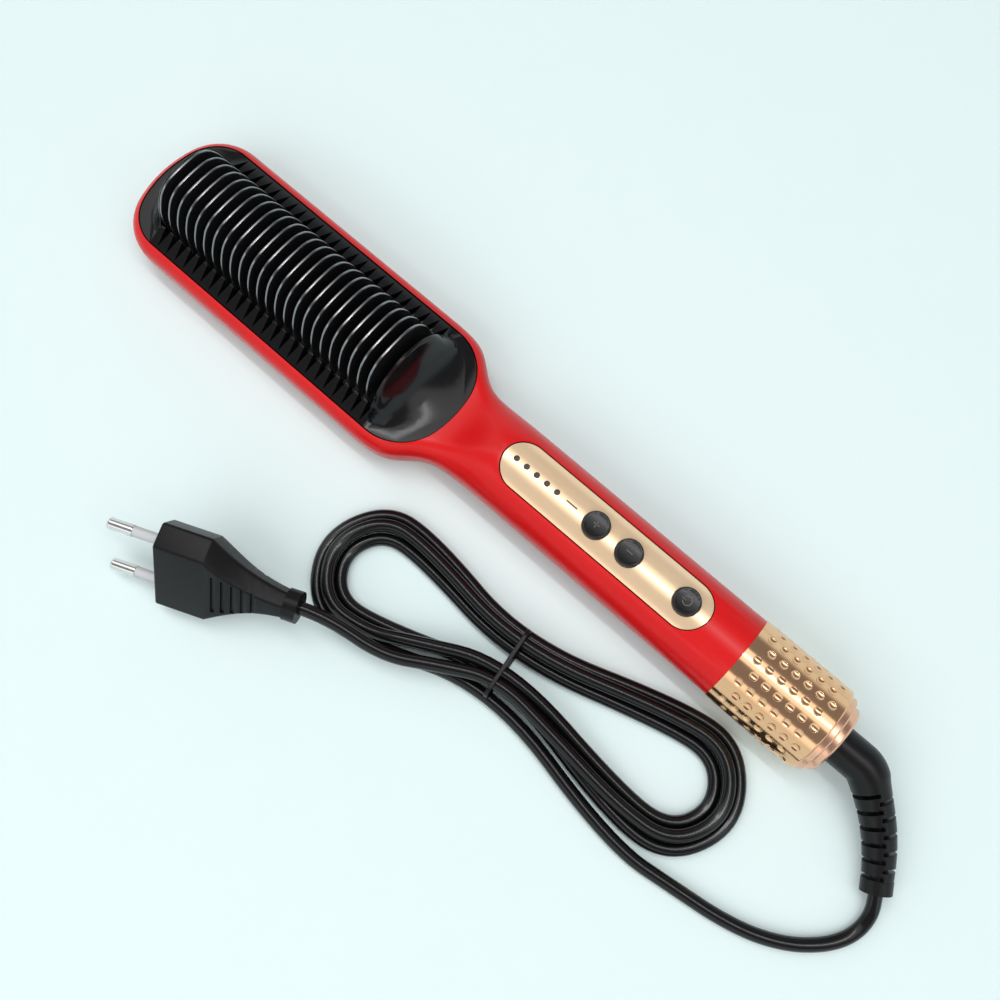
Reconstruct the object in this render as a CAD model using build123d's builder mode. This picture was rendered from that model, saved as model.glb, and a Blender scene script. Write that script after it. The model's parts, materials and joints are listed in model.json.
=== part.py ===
from build123d import *

import math
import os

os.makedirs("parts", exist_ok=True)

# Heated styling brush, millimetres. X runs from the head's tip to the cord end, Z is up from the
# table, and the origin lies under the middle of the brush. Stations along the brush are given as
# distances from the tip, and at() turns them into X.

# Head
overall_length = 297.0
head_width = 52.6
rim_height = 20.0
shell_wall = 2.2
rim_band = 3.3
rim_round = 6.0
back_round = 12.0
tip_corner = 19.0
tip_nose = 44.0
rear_corner = 22.0
rear_nose = 44.0
rear_side = 121.5

# Neck and handle
neck_start = 118.0
neck_middle = 136.0
neck_ease = 3.5
rise_start = 137.0
neck_end = 168.0
neck_steps = 14
handle_radius = 14.8
handle_lift = 0.4
cap_start = 258.5

# Comb
fin_count = 24
fin_pitch = 4.15
first_fin = 20.4
fin_thickness = 0.9
fin_base_half = 15.4
fin_crown_turn = 8.0
fin_shoulder_turn = 58.0
fin_shoulder_round = 9.2
fin_side_round = 25.0
comb_height = 40.5
fin_slot_depth = 1.6
window_gap = 0.4
tooth_rise = 2.9
tooth_tip = 1.05
tooth_margin = 0.3
notch_margin = 0.7
notch_depth = 2.1
tip_crest_drop = 0.6
rear_crest_drop = 3.8
rear_crest_half = 17.2
crest_thickness = 1.2
crest_flare = 3.2
scoop_margin = 0.6
rear_scoop_margin = 3.0
frame_gap = 0.15
frame_depth = 4.4
flange_thickness = 0.8
flange_gap = 0.55

# Heater
deck_thickness = 1.9
pedestal_height = 2.6
deck_gap = 0.1
film_thickness = 0.3
ptc_thickness = 2.5
ptc_length = 36.0
ptc_width = 12.0
ptc_split = 7.0
clamp_thickness = 1.0
clamp_width = 14.0
pad_thickness = 3.0

# Control panel and buttons
panel_start = neck_end - 5.1
panel_length = 81.7
panel_width = 16.2
panel_sunk = 0.25
panel_thickness = 1.3
panel_gap = 0.25
panel_ledge = 1.5
button_stations = {"plus": panel_start + 37.2, "minus": panel_start + 50.4, "power": panel_start + 73.1}
button_radius = 4.5
button_gap = 0.15
button_proud = 0.8
button_flange = 0.8
led_first = panel_start + 4.5
led_pitch = 4.18
led_count = 5
led_hole_radius = 0.85

# Control board
board_start = panel_start + 3.1
board_length = 86.0
board_width = 20.0
board_thickness = 1.6
board_top = 20.0
switch_size = 6.0
switch_height = 3.4
plunger_radius = 1.7

# End cap, ring and swivel
cap_radius = 15.2
cap_wall = 1.6
cap_length = 33.5
dimple_rows = 22
dimples_per_row = 6
dimple_pitch = 4.5
dimple_radius = 1.5
dimple_depth = 0.6
ring_radius = 13.9
ring_step = 2.0
spigot_length = 10.0
spigot_gap = 0.15
guard_radius = 6.5
guard_gap = 0.3
guard_core_radius = 2.9
spindle_radius = 3.0
running_gap = 0.1

# Screws
closing_screw = 1.3
small_screw = 1.0
head_ratio = 1.9
thread_gap = 0.05

# Cord, hank and plug
cord_diameter = 4.5
strand_gap = 0.5
plug_width = 35.3
plug_thickness = 13.7
plug_flat = 26.1
pin_spacing = 18.6
pin_radius = 2.0
pin_length = 19.0
sleeve_length = 10.0
sleeve_radius = 1.8


def at(distance):
    return distance - overall_length / 2


# Values that follow from the driving dimensions
half_width = head_width / 2
axis_height = handle_lift + handle_radius
parting_height = axis_height
handle_top = axis_height + handle_radius
handle_round = handle_radius - 0.1
frame_top = rim_height - 0.7
frame_bottom = frame_top - frame_depth
frame_half = half_width - rim_band - frame_gap
window_half = fin_base_half + window_gap
tip_crest = first_fin - fin_thickness / 2 - 0.3
rear_crest = first_fin + fin_count * fin_pitch - crest_thickness / 2
deck_top = frame_bottom - deck_gap
deck_bottom = deck_top - deck_thickness
pedestal_top = deck_top + pedestal_height
film_bottom = deck_bottom - film_thickness
ptc_bottom = film_bottom - ptc_thickness
clamp_bottom = ptc_bottom - clamp_thickness
panel_radius = handle_radius - panel_sunk
panel_under = panel_radius - panel_thickness
panel_middle = panel_start + panel_length / 2
board_bottom = board_top - board_thickness
cap_bore = cap_radius - cap_wall
cap_end = cap_start + cap_length
spigot_radius = cap_bore - spigot_gap
button_top = axis_height + handle_radius + button_proud
flange_top = axis_height + math.sqrt(panel_under**2 - (button_radius + button_flange) ** 2) - running_gap
flange_bottom = flange_top - 1.0
plunger_top = board_top + switch_height + 1.1
ring_hole = guard_radius + guard_gap
written = []


def save(builder, name):
    """Label a finished piece and write it to its own file."""
    builder.part.label = name
    export_step(builder.part, f"parts/{name}.step")
    written.append(name)


def across(distance):
    """A plane square to the brush at a distance from the tip, its x along +Y and its y up."""
    return Plane(origin=(at(distance), 0, 0), x_dir=(0, 1, 0), z_dir=(1, 0, 0))


def end_arcs(side_x, half, corner, nose, towards_tip):
    """Two tangent arcs from the straight side of the head round to its middle line."""
    corner_turn = math.degrees(math.acos((half - corner) / (nose - corner)))
    way = -1 if towards_tip else 1
    corner_arc = JernArc((side_x, half), (way, 0), corner, -way * corner_turn)
    JernArc(corner_arc @ 1, corner_arc % 1, nose, -way * (90 - corner_turn))


def end_reach(half, corner, nose):
    """How far those two arcs reach beyond the end of the straight side."""
    cosine = (half - corner) / (nose - corner)
    sine = math.sqrt(1 - cosine**2)
    return corner * sine + nose * (1 - sine)


tip_side = end_reach(half_width, tip_corner, tip_nose)


def head_outline(inset):
    """The outline of the comb's seat in the head, drawn in by inset on every side."""
    half = half_width - inset
    with BuildSketch() as outline:
        with BuildLine():
            Line((at(tip_side), half), (at(rear_side), half))
            end_arcs(at(tip_side), half, tip_corner - inset, tip_nose - inset, True)
            end_arcs(at(rear_side), half, rear_corner - inset, rear_nose - inset, False)
            mirror(about=Plane.XZ)
        make_face()
    return outline.sketch


def neck_ease_at(station):
    """A smooth step down along the neck, from 1 in the head to 0 in the handle."""
    return 1 / (1 + math.exp((station - neck_middle) / neck_ease))


def neck_section(station, inset):
    """The rounded section of the neck at a station, from the wide head to the round handle."""
    first, last = neck_ease_at(neck_start), neck_ease_at(neck_end)
    share = (neck_ease_at(station) - last) / (first - last)
    climb = min(1.0, max(0.0, (station - rise_start) / (neck_end - rise_start)))
    rise = climb**3 * (10 - 15 * climb + 6 * climb**2)
    half = handle_radius + (half_width - handle_radius) * share - inset
    low = handle_lift * (1 - share) + inset
    high = rim_height + (handle_top - rim_height) * rise - inset
    with BuildSketch() as section:
        with Locations((0, (low + high) / 2)):
            Rectangle(2 * half, high - low)
        low_corners = section.vertices().group_by(Axis.Y)[0]
        fillet(low_corners, back_round + (handle_round - back_round) * rise - inset)
        high_corners = section.vertices().group_by(Axis.Y)[-1]
        fillet(high_corners, rim_round + (handle_round - rim_round) * rise - inset)
    return section.sketch


def shell_form(inset):
    """The outside of the two shells, or with an inset the space inside them."""
    half = half_width - inset
    with BuildPart() as form:
        with BuildSketch(Plane.XY.offset(inset)):
            with BuildLine():
                Line((at(tip_side), half), (at(neck_start), half))
                end_arcs(at(tip_side), half, tip_corner - inset, tip_nose - inset, True)
                mirror(about=Plane.XZ)
                Line((at(neck_start), half), (at(neck_start), -half))
            make_face()
        extrude(amount=rim_height - 2 * inset)
        outer = form.edges().filter_by(lambda e: e.center().X < at(neck_start) - 0.1)
        fillet(outer.group_by(Axis.Z)[-1], rim_round - inset)
        outer = form.edges().filter_by(lambda e: e.center().X < at(neck_start) - 0.1)
        fillet(outer.group_by(Axis.Z)[0], back_round - inset)
        for step in range(neck_steps + 1):
            station = neck_start + (neck_end - neck_start) * step / neck_steps
            with BuildSketch(across(station)):
                add(neck_section(station, inset))
        loft()
        with BuildSketch(across(neck_end)):
            add(neck_section(neck_end, inset))
        extrude(amount=cap_start - neck_end)
    return form.part


def tube(outer, inner, start, end):
    """A ring about the handle's axis between two stations."""
    with BuildPart() as ring:
        with BuildSketch(across(start)):
            with Locations((0, axis_height)):
                Circle(outer)
                Circle(inner, mode=Mode.SUBTRACT)
        extrude(amount=end - start)
    return ring.part


def panel_slot(length, width, start_radius, end_radius):
    """A stadium seen from above, bounded by two cylinders about the handle's axis."""
    with BuildPart() as slot:
        with BuildSketch(Plane.XY.offset(axis_height + 4)):
            with Locations((at(panel_middle), 0)):
                SlotOverall(length, width)
        extrude(amount=handle_radius)
        add(
            tube(end_radius, start_radius, panel_start - 10, panel_start + panel_length + 10),
            mode=Mode.INTERSECT,
        )
    return slot.part


outer_form = shell_form(0)
inner_form = shell_form(shell_wall)

# Places of the screws, and of the bosses that take them
comb_middle = (tip_crest + rear_crest) / 2
comb_screws = [(tip_crest - 8.6, 0), (rear_crest + 13.6, 12.0), (rear_crest + 13.6, -12.0)]
neck_screw = (neck_end - 11.0, 0)
screw_side = window_half + 1.6
heater_screws = [(x, y) for x in (tip_crest - 2.0, rear_crest + 3.0) for y in (screw_side, -screw_side)]
clamp_screws = [(comb_middle + x, y) for x in (-45.0, 45.0) for y in (4.2, -4.2)]
boss_radius = 2.7
counterbore_radius = closing_screw * head_ratio + 0.2
counterbore_depth = 3.0
boss_seam = frame_bottom - 5.0
board_side = board_width / 2 - 1.6
board_screws = [
    (x, y) for x in (board_start + 6.0, board_start + board_length - 4.0) for y in (board_side, -board_side)
]

# Front shell: the red upper half, with the rim round the comb, the panel's seat and bosses
with BuildPart() as front_shell:
    add(outer_form)
    with BuildPart(mode=Mode.PRIVATE) as front_space:
        add(inner_form)
        with BuildSketch(Plane.XY.offset(parting_height)):
            with Locations((at(neck_screw[0]), neck_screw[1])):
                Circle(boss_radius)
        extrude(amount=handle_radius, mode=Mode.SUBTRACT)
        with BuildSketch(Plane.XY.offset(board_top)):
            with Locations(*[(at(x), y) for x, y in board_screws]):
                Circle(small_screw + 1.3)
        extrude(amount=handle_radius, mode=Mode.SUBTRACT)
    add(front_space.part, mode=Mode.SUBTRACT)
    add(tube(spigot_radius, spigot_radius - 2.2, cap_start - 3, cap_start + spigot_length))
    split(bisect_by=Plane.XY.offset(parting_height), keep=Keep.TOP)
    with BuildSketch(Plane.XY.offset(parting_height)):
        add(head_outline(rim_band))
    extrude(amount=handle_radius, mode=Mode.SUBTRACT)
    seat_length = panel_length + 2 * panel_gap
    seat_width = panel_width + 2 * panel_gap
    add(panel_slot(seat_length, seat_width, panel_under, handle_radius + 2), mode=Mode.SUBTRACT)
    add(
        panel_slot(seat_length - 2 * panel_ledge, seat_width - 2 * panel_ledge, 8.5, panel_under + 0.5),
        mode=Mode.SUBTRACT,
    )
    with BuildSketch(Plane.XY.offset(parting_height)):
        with Locations((at(neck_screw[0]), neck_screw[1])):
            Circle(closing_screw + thread_gap)
    extrude(amount=7.5, mode=Mode.SUBTRACT)
    with BuildSketch(Plane.XY.offset(board_top)):
        with Locations(*[(at(x), y) for x, y in board_screws]):
            Circle(small_screw + thread_gap)
    extrude(amount=4.0, mode=Mode.SUBTRACT)
save(front_shell, "front_shell")

# Back shell: the red lower half, flat where it rests on the table, with four screw bosses
with BuildPart() as back_shell:
    add(outer_form)
    with BuildPart(mode=Mode.PRIVATE) as back_space:
        add(inner_form)
        with BuildSketch(Plane.XY):
            with Locations(*[(at(x), y) for x, y in comb_screws]):
                Circle(boss_radius)
        extrude(amount=boss_seam - running_gap, mode=Mode.SUBTRACT)
        with BuildSketch(Plane.XY):
            with Locations((at(neck_screw[0]), neck_screw[1])):
                Circle(boss_radius)
        extrude(amount=parting_height, mode=Mode.SUBTRACT)
    add(back_space.part, mode=Mode.SUBTRACT)
    add(tube(spigot_radius, spigot_radius - 2.2, cap_start - 3, cap_start + spigot_length))
    split(bisect_by=Plane.XY.offset(parting_height), keep=Keep.BOTTOM)
    with BuildSketch(Plane.XY):
        with Locations(*[(at(x), y) for x, y in comb_screws + [neck_screw]]):
            Circle(counterbore_radius)
    extrude(amount=counterbore_depth, mode=Mode.SUBTRACT)
    with BuildSketch(Plane.XY):
        with Locations(*[(at(x), y) for x, y in comb_screws + [neck_screw]]):
            Circle(closing_screw + 0.2)
    extrude(amount=parting_height, mode=Mode.SUBTRACT)
save(back_shell, "back_shell")


def screw(x, y, low, shank, length):
    """One pan-head screw driven up from below, the underside of its head at height low."""
    with BuildPart() as fastener:
        with Locations((at(x), y, low)):
            Cylinder(shank * head_ratio, shank * 1.1, align=(Align.CENTER, Align.CENTER, Align.MIN))
            Cylinder(shank, length, align=(Align.CENTER, Align.CENTER, Align.MIN))
    return fastener.part


# Closing screws: three into the comb frame and a longer one into the front shell's neck
with BuildPart() as closing_screws:
    head_level = counterbore_depth - closing_screw * 1.1
    for x, y in comb_screws:
        add(screw(x, y, head_level, closing_screw, boss_seam - counterbore_depth + 6.0))
    neck_shank = parting_height - counterbore_depth + 8.0
    add(screw(neck_screw[0], neck_screw[1], head_level, closing_screw, neck_shank))
save(closing_screws, "closing_screws")


def crown_round(half, shoulder_round, side_round):
    """The crown's radius of an arch of three tangent arcs that is as wide as its base."""
    crown = math.sin(math.radians(fin_crown_turn))
    shoulder = math.sin(math.radians(fin_shoulder_turn))
    return (half - shoulder_round * (shoulder - crown) - side_round * (1 - shoulder)) / crown


def arch_half(drop, rounds):
    """Half width of an arch of three tangent arcs at a drop below its crown."""
    half, fallen, start = 0.0, 0.0, 0.0
    for end, radius in zip((fin_crown_turn, fin_shoulder_turn, 90.0), rounds):
        low, high = math.radians(start), math.radians(end)
        arc_drop = radius * (math.cos(low) - math.cos(high))
        if drop < fallen + arc_drop:
            cosine = math.cos(low) - (drop - fallen) / radius
            return half + radius * (math.sqrt(1 - cosine**2) - math.sin(low))
        half += radius * (math.sin(high) - math.sin(low))
        fallen += arc_drop
        start = end
    return half


def level_outline(half, depth, way):
    """A scoop's outline at one level: out from the crest's plane and round by two arcs a side."""
    corner = 0.6 * min(half, depth)
    nose = (depth**2 + half**2 - 2 * half * corner) / (2 * (depth - corner))
    turn = math.degrees(math.acos((half - corner) / (nose - corner)))
    with BuildSketch() as outline:
        with BuildLine():
            corner_arc = JernArc((0, half), (way, 0), corner, -way * turn)
            JernArc(corner_arc @ 1, corner_arc % 1, nose, -way * (90 - turn))
            mirror(about=Plane.XZ)
            Line((0, half), (0, -half))
        make_face()
    return outline.sketch


def scoop(crest, reach, top, rounds, way):
    """An arched crest across the comb whose outer face sweeps down and out into the flat rim."""
    height = top - frame_top
    steps = 11
    with BuildPart() as form:
        for step in range(steps + 1):
            share = 0.997 * math.sin(math.radians(90 * step / steps)) ** 2
            half = arch_half(height * (1 - share), rounds)
            half += crest_flare * max(0.0, 1 - 2.5 * share) ** 2
            depth = reach - (reach - crest_thickness) * math.sqrt(1 - (1 - share) ** 2)
            with BuildSketch(Plane(origin=(at(crest), 0, frame_top + height * share), z_dir=(0, 0, 1))):
                add(level_outline(half, depth, way))
        loft(ruled=True)
    return form.part


# Comb frame: the glossy black insert, a rim plate with two rows of wedge teeth and a scoop at each end
fin_rounds = (
    crown_round(fin_base_half, fin_shoulder_round, fin_side_round), fin_shoulder_round, fin_side_round
)
with BuildPart() as comb_frame:
    with BuildSketch(Plane.XY.offset(frame_bottom)):
        add(head_outline(rim_band + frame_gap))
    extrude(amount=frame_depth)
    with BuildSketch(Plane.XY.offset(frame_bottom)):
        add(head_outline(shell_wall + flange_gap))
    extrude(amount=flange_thickness)
    tooth_foot = frame_half - tooth_margin
    with BuildSketch(across(tip_crest - 0.4)):
        with BuildLine():
            Polyline(
                (window_half - 0.3, frame_top - 0.2),
                (tooth_foot + 0.2, frame_top - 0.2),
                (tooth_foot, frame_top),
                (window_half + 0.5, frame_top + tooth_rise),
                (window_half - 0.3, frame_top + tooth_rise),
                close=True,
            )
        make_face()
        mirror(about=Plane.YZ)
    extrude(amount=rear_crest - tip_crest + 0.8)
    tip_reach = tip_crest - rim_band - frame_gap - scoop_margin
    add(scoop(tip_crest, tip_reach, comb_height - tip_crest_drop, fin_rounds, -1))
    frame_end = rear_side + end_reach(
        frame_half, rear_corner - rim_band - frame_gap, rear_nose - rim_band - frame_gap
    )
    rear_reach = frame_end - rear_crest - rear_scoop_margin
    add(scoop(rear_crest, rear_reach, comb_height - rear_crest_drop, 3 * (rear_crest_half,), 1))
    with BuildSketch(Plane.XY.offset(frame_bottom)):
        with Locations((at(comb_middle), 0)):
            Rectangle(rear_crest - tip_crest - 0.1, 2 * window_half)
    extrude(amount=comb_height, mode=Mode.SUBTRACT)
    notch_half = (fin_pitch - tooth_tip) / 2
    notch_root = frame_half - notch_margin
    with BuildSketch(Plane.XY.offset(frame_top - notch_depth)):
        with Locations((at(first_fin + fin_count * fin_pitch / 2), 0)):
            with GridLocations(fin_pitch, 0, fin_count, 1):
                Polygon(
                    (0, notch_root),
                    (-notch_half, window_half - 1),
                    (notch_half, window_half - 1),
                    align=None,
                )
        mirror(about=Plane.XZ)
    extrude(amount=comb_height, mode=Mode.SUBTRACT)
    with BuildSketch(Plane.XY.offset(boss_seam)):
        with Locations(*[(at(x), y) for x, y in comb_screws]):
            Circle(boss_radius)
    extrude(amount=frame_bottom - boss_seam)
    with BuildSketch(Plane.XY.offset(boss_seam)):
        with Locations(*[(at(x), y) for x, y in comb_screws]):
            Circle(closing_screw + thread_gap)
    extrude(amount=frame_bottom - boss_seam + 2.0, mode=Mode.SUBTRACT)
    with BuildSketch(Plane.XY.offset(frame_bottom)):
        with Locations(*[(at(x), y) for x, y in heater_screws]):
            Circle(small_screw + thread_gap)
    extrude(amount=3.0, mode=Mode.SUBTRACT)
save(comb_frame, "comb_frame")

# Heating base: a cast aluminium plate under the frame, with a slotted pedestal for the fins
with BuildPart() as heating_base:
    deck_start = tip_crest - 5.4
    deck_end = rear_crest + 6.2
    deck_middle = at((deck_start + deck_end) / 2)
    with BuildSketch(Plane.XY.offset(deck_bottom)):
        with Locations((deck_middle, 0)):
            RectangleRounded(deck_end - deck_start, 2 * (window_half + 3.6), 4.0)
        with Locations(*[(at(x), y) for x, y in comb_screws]):
            Circle(boss_radius + 0.6, mode=Mode.SUBTRACT)
    extrude(amount=deck_thickness)
    with BuildSketch(Plane.XY.offset(deck_top)):
        with Locations((at(comb_middle), 0)):
            Rectangle(rear_crest - tip_crest - 0.6, 2 * (window_half - 0.3))
    extrude(amount=pedestal_height)
    slot_width = fin_thickness + 0.06
    with BuildSketch(Plane.XY.offset(pedestal_top - fin_slot_depth)):
        with Locations((at(first_fin + (fin_count - 1) * fin_pitch / 2), 0)):
            with GridLocations(fin_pitch, 0, fin_count, 1):
                Rectangle(slot_width, 2 * window_half)
    extrude(amount=fin_slot_depth, mode=Mode.SUBTRACT)
    with BuildSketch(Plane.XY.offset(deck_bottom)):
        with Locations(*[(at(x), y) for x, y in heater_screws]):
            Circle(small_screw + 0.15)
    extrude(amount=deck_thickness, mode=Mode.SUBTRACT)
    with BuildSketch(Plane.XY.offset(deck_bottom)):
        with Locations(*[(at(x), y) for x, y in clamp_screws]):
            Circle(small_screw + thread_gap)
    extrude(amount=2.6, mode=Mode.SUBTRACT)
save(heating_base, "heating_base")


def fin_outline():
    """The arch of one heated fin, from its crown by three tangent arcs a side to its foot in the slot."""
    foot = pedestal_top - fin_slot_depth
    with BuildSketch() as arch:
        with BuildLine():
            crown = JernArc((0, comb_height), (1, 0), fin_rounds[0], -fin_crown_turn)
            shoulder = JernArc(crown @ 1, crown % 1, fin_shoulder_round, fin_crown_turn - fin_shoulder_turn)
            side = JernArc(shoulder @ 1, shoulder % 1, fin_side_round, fin_shoulder_turn - 90)
            Line(side @ 1, (fin_base_half, foot))
            mirror(about=Plane.YZ)
            Line((fin_base_half, foot), (-fin_base_half, foot))
        make_face()
    return arch.sketch


# Heating fins: twenty-four thin aluminium arches, each standing in its own slot
with BuildPart() as heating_fins:
    for number in range(fin_count):
        with BuildSketch(across(first_fin + number * fin_pitch - fin_thickness / 2)):
            add(fin_outline())
        extrude(amount=fin_thickness)
save(heating_fins, "heating_fins")

# Insulating film, then two PTC heating elements, then the spring clamp that holds them up
ptc_reach = ptc_length + ptc_split / 2
with BuildPart() as insulating_film:
    with BuildSketch(Plane.XY.offset(film_bottom)):
        with Locations((at(comb_middle), 0)):
            Rectangle(2 * ptc_reach + 3, ptc_width + 3)
    extrude(amount=film_thickness)
save(insulating_film, "insulating_film")

ptc_shift = (ptc_length + ptc_split) / 2
ptc_middles = (comb_middle - ptc_shift, comb_middle + ptc_shift)
with BuildPart() as ptc_heaters:
    with BuildSketch(Plane.XY.offset(ptc_bottom)):
        with Locations(*[(at(x), 0) for x in ptc_middles]):
            Rectangle(ptc_length, ptc_width)
    extrude(amount=ptc_thickness)
save(ptc_heaters, "ptc_heaters")

with BuildPart() as thermistor:
    with BuildSketch(Plane.XY.offset(film_bottom - 2.0)):
        with Locations((at(comb_middle), 0)):
            RectangleRounded(ptc_split - 2.0, 3.2, 1.0)
    extrude(amount=2.0)
save(thermistor, "thermistor")

with BuildPart() as heater_clamp:
    foot_level = deck_bottom - clamp_thickness / 2
    bar_level = ptc_bottom - clamp_thickness / 2
    with BuildSketch(Plane(origin=(0, clamp_width / 2, 0), x_dir=(1, 0, 0), z_dir=(0, -1, 0))):
        with BuildLine() as clamp_line:
            FilletPolyline(
                (at(comb_middle - ptc_reach - 8.5), foot_level),
                (at(comb_middle - ptc_reach - 2.1), foot_level),
                (at(comb_middle - ptc_reach - 1.1), bar_level),
                (at(comb_middle + ptc_reach + 1.1), bar_level),
                (at(comb_middle + ptc_reach + 2.1), foot_level),
                (at(comb_middle + ptc_reach + 8.5), foot_level),
                radius=0.9,
            )
        trace(line_width=clamp_thickness)
    extrude(amount=clamp_width)
    with BuildSketch(Plane.XY.offset(clamp_bottom - 1)):
        with Locations(*[(at(x), y) for x, y in clamp_screws]):
            Circle(small_screw + 0.15)
    extrude(amount=8.0, mode=Mode.SUBTRACT)
save(heater_clamp, "heater_clamp")

with BuildPart() as clamp_screws_part:
    clamp_head = deck_bottom - clamp_thickness - small_screw * 1.1
    for x, y in clamp_screws:
        add(screw(x, y, clamp_head, small_screw, clamp_thickness + 3.2))
save(clamp_screws_part, "clamp_screws")

with BuildPart() as deck_screws:
    for x, y in heater_screws:
        add(screw(x, y, deck_bottom - small_screw * 1.1, small_screw, deck_thickness + 3.5))
save(deck_screws, "deck_screws")

fuse_radius = 1.7
with BuildPart() as thermal_fuse:
    with BuildSketch(across(comb_middle - 18.0)):
        with Locations((0, clamp_bottom - fuse_radius - 0.05)):
            Circle(fuse_radius)
    extrude(amount=11.0)
    with BuildSketch(across(comb_middle - 24.0)):
        with Locations((0, clamp_bottom - fuse_radius - 0.05)):
            Circle(0.5)
    extrude(amount=23.0)
save(thermal_fuse, "thermal_fuse")

with BuildPart() as insulation_pad:
    with BuildSketch(Plane.XY.offset(shell_wall + 0.05)):
        with Locations((at(comb_middle), 0)):
            RectangleRounded(rear_crest - tip_crest - 1.8, 27.0, 3.0)
    extrude(amount=pad_thickness)
save(insulation_pad, "insulation_pad")

# Control panel: the rose-gold plated strip, curved with the handle and sunk into its seat
with BuildPart() as control_panel:
    add(panel_slot(panel_length, panel_width, panel_under + 0.02, panel_radius))
    with BuildSketch(Plane.XY.offset(axis_height + 4)):
        with Locations(*[(at(x), 0) for x in button_stations.values()]):
            Circle(button_radius + button_gap)
        with Locations(*[(at(led_first + led_pitch * n), 0) for n in range(led_count)]):
            Circle(led_hole_radius)
    extrude(amount=handle_radius, mode=Mode.SUBTRACT)
save(control_panel, "control_panel")


def push_button(station):
    """A round key with a domed rim, a flange that keeps it under the panel, and a short stem."""
    stem_radius = 1.9
    with BuildPart() as key:
        with BuildSketch(Plane(origin=(at(station), 0, 0), x_dir=(1, 0, 0), z_dir=(0, -1, 0))):
            with BuildLine():
                Polyline(
                    (0, plunger_top + running_gap),
                    (stem_radius, plunger_top + running_gap),
                    (stem_radius, flange_bottom),
                    (button_radius + button_flange, flange_bottom),
                    (button_radius + button_flange, flange_top),
                    (button_radius, flange_top),
                    (button_radius, button_top - 0.5),
                )
                ThreePointArc(
                    (button_radius, button_top - 0.5),
                    (button_radius - 0.15, button_top - 0.15),
                    (button_radius - 0.5, button_top),
                )
                Polyline(
                    (button_radius - 0.5, button_top),
                    (button_radius - 1.3, button_top - 0.2),
                    (0, button_top - 0.2),
                    (0, plunger_top + running_gap),
                )
            make_face()
        revolve(axis=Axis((at(station), 0, 0), (0, 0, 1)))
    return key


def switch_plunger(station):
    """The small round plunger of the tact switch under a key."""
    with BuildPart() as plunger:
        with BuildSketch(Plane.XY.offset(board_top + 1.2)):
            with Locations((at(station), 0)):
                Circle(plunger_radius)
        extrude(amount=plunger_top - board_top - 1.2)
    return plunger


for word, station in button_stations.items():
    save(push_button(station), f"button_{word}")
    save(switch_plunger(station), f"plunger_{word}")

with BuildPart() as tact_switches:
    with BuildSketch(Plane.XY.offset(board_top)):
        with Locations(*[(at(x), 0) for x in button_stations.values()]):
            Rectangle(switch_size, switch_size)
    extrude(amount=switch_height)
    with BuildSketch(Plane.XY.offset(board_top + 0.4)):
        with Locations(*[(at(x), 0) for x in button_stations.values()]):
            Circle(plunger_radius + running_gap)
    extrude(amount=switch_height, mode=Mode.SUBTRACT)
save(tact_switches, "tact_switches")

# Light guide: a clear bar under the panel with one post up through each lamp hole
guide_top = axis_height + math.sqrt(panel_under**2 - 2.2**2) - 0.05
with BuildPart() as light_guide:
    with BuildSketch(Plane.XY.offset(guide_top - 1.3)):
        with Locations((at(led_first + led_pitch * (led_count - 1) / 2), 0)):
            SlotOverall(led_pitch * (led_count - 1) + 4.4, 4.4)
    extrude(amount=1.3)
    with BuildSketch(Plane.XY.offset(guide_top)):
        with Locations(*[(at(led_first + led_pitch * n), 0) for n in range(led_count)]):
            Circle(led_hole_radius - 0.1)
    extrude(amount=axis_height + panel_radius - 0.1 - guide_top)
save(light_guide, "light_guide")

with BuildPart() as lamps:
    with BuildSketch(Plane.XY.offset(board_top)):
        with Locations(*[(at(led_first + led_pitch * n), 0) for n in range(led_count)]):
            Rectangle(2.0, 1.6)
    extrude(amount=1.2)
save(lamps, "lamps")

# Control board, hung on four bosses of the front shell, and what stands on it
with BuildPart() as control_board:
    with BuildSketch(Plane.XY.offset(board_bottom)):
        with Locations((at(board_start + board_length / 2), 0)):
            RectangleRounded(board_length, board_width, 1.5)
        with Locations(*[(at(x), y) for x, y in board_screws]):
            Circle(small_screw + 0.15, mode=Mode.SUBTRACT)
    extrude(amount=board_thickness)
save(control_board, "control_board")

with BuildPart() as board_screws_part:
    for x, y in board_screws:
        add(screw(x, y, board_bottom - small_screw * 1.1, small_screw, board_thickness + 4.4))
save(board_screws_part, "board_screws")

with BuildPart() as controller_chip:
    with BuildSketch(Plane.XY.offset(board_top)):
        with Locations((at(button_stations["plus"] - 9.5), 0)):
            Rectangle(5.0, 10.0)
    extrude(amount=1.5)
save(controller_chip, "controller_chip")

with BuildPart() as capacitor:
    with BuildSketch(Plane.XY.offset(board_bottom - 11.0)):
        with Locations((at(board_start + 66.0), 0)):
            RectangleRounded(15.0, 6.5, 0.6)
    extrude(amount=11.0)
save(capacitor, "capacitor")

with BuildPart() as triac:
    with BuildSketch(Plane.XY.offset(board_bottom - 8.5)):
        with Locations((at(board_start + 46.0), 0)):
            Rectangle(4.5, 10.0)
    extrude(amount=8.5)
save(triac, "triac")


def wire(points, radii, diameter):
    """A round wire along straight runs joined by tangent arcs."""
    with BuildPart() as lead:
        with BuildLine() as route:
            FilletPolyline(*points, radius=radii)
        with BuildSketch(Plane(origin=route.line @ 0, z_dir=route.line % 0)):
            Circle(diameter / 2)
        sweep()
    return lead


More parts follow.
